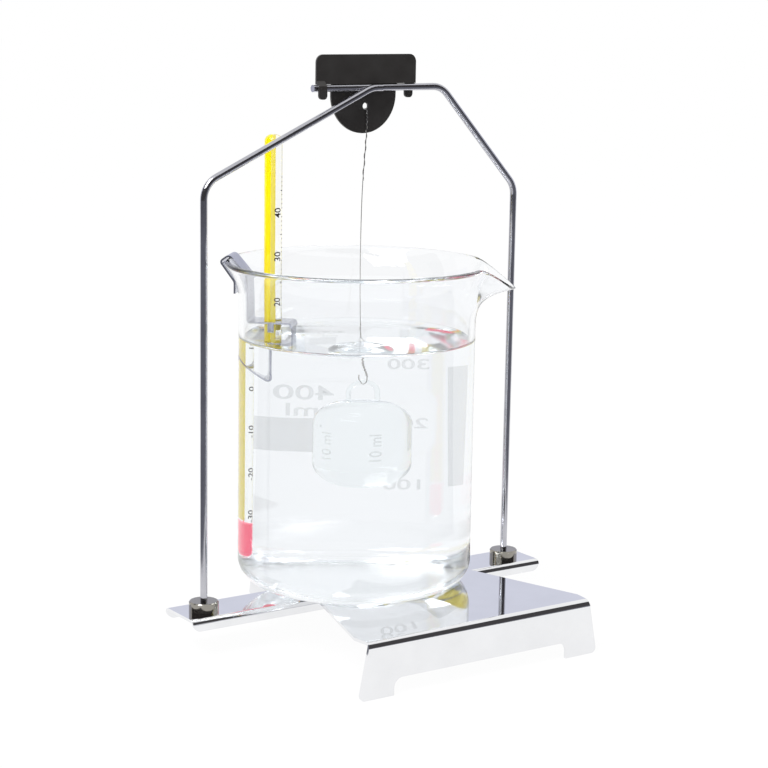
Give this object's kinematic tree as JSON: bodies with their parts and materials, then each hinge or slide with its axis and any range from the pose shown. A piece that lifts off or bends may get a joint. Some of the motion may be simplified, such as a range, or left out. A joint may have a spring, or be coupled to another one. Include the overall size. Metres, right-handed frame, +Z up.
{
  "type": "density determination kit",
  "caption": "Balance density kit: folded bridge with glass beaker, wire frame, hooked hanger, glass sinker on a wire, clipped thermometer.",
  "frame": {"origin": "bottom centre of the whole kit, on the surface that the bridge's feet stand on", "axes": "+X along the crossbar, -Y towards the wide front of the bridge, +Z up"},
  "size_m": [0.1446, 0.117, 0.1969],
  "materials": {
    "polished_steel": "mirror polished stainless sheet and wire",
    "dark_steel": "polished, slightly dark nickel",
    "fastener_steel": "plain",
    "hub_metal": "turned",
    "black_sheet": "glossy black",
    "wire_steel": "drawn",
    "clear_glass": "clear",
    "yellow_enamel": "enamel band fused in the stem",
    "red_spirit": "coloured liquid",
    "clip_steel": "polished spring sheet"
  },
  "bodies": {
    "stand": {"bridge": "polished_steel"},
    "frame": {"crossbar": "polished_steel", "left_rod": "polished_steel", "right_rod": "polished_steel", "left_collar": "dark_steel", "right_collar": "dark_steel", "rod_nuts": "fastener_steel", "lock_washers": "fastener_steel", "support_hub": "hub_metal", "hub_screws": "fastener_steel"},
    "hanger": {"hanger_plate": "black_sheet"},
    "wire": {"suspension_wire": "wire_steel"},
    "plummet": {"sinker": "clear_glass"},
    "vessel": {"beaker": "clear_glass"},
    "clip": {"thermometer_clip": "clip_steel"},
    "thermometer": {"thermometer_stem": "clear_glass", "thermometer_backing": "yellow_enamel", "thermometer_spirit": "red_spirit"}
  },
  "joints": [
    {"name": "frame_float", "type": "slide", "parent": "stand", "child": "frame", "axis": [0, 0, 1], "range_m": [0, 0.002]},
    {"name": "hanger_lift", "type": "slide", "parent": "frame", "child": "hanger", "axis": [0, 0, 1], "range_m": [0, 0.005]},
    {"name": "wire_swing", "type": "hinge", "parent": "hanger", "child": "wire", "pos_m": [0, 0.01475, 0.17871], "axis": [0, 1, 0], "range_deg": [-5, 5]},
    {"name": "sinker_swing", "type": "hinge", "parent": "wire", "child": "plummet", "pos_m": [0, 0.01475, 0.087], "axis": [0, 1, 0], "range_deg": [-8, 8]},
    {"name": "beaker_lift", "type": "slide", "parent": "stand", "child": "vessel", "axis": [0, 0, 1], "range_m": [0, 0.012]},
    {"name": "clip_turn", "type": "hinge", "parent": "vessel", "child": "clip", "pos_m": [-0.008, 0.0055, 0.1285], "axis": [0, 0, 1], "range_deg": [-20, 8]},
    {"name": "thermometer_slide", "type": "slide", "parent": "clip", "child": "thermometer", "axis": [0, 0, 1], "range_m": [0, 0.06]}
  ]
}
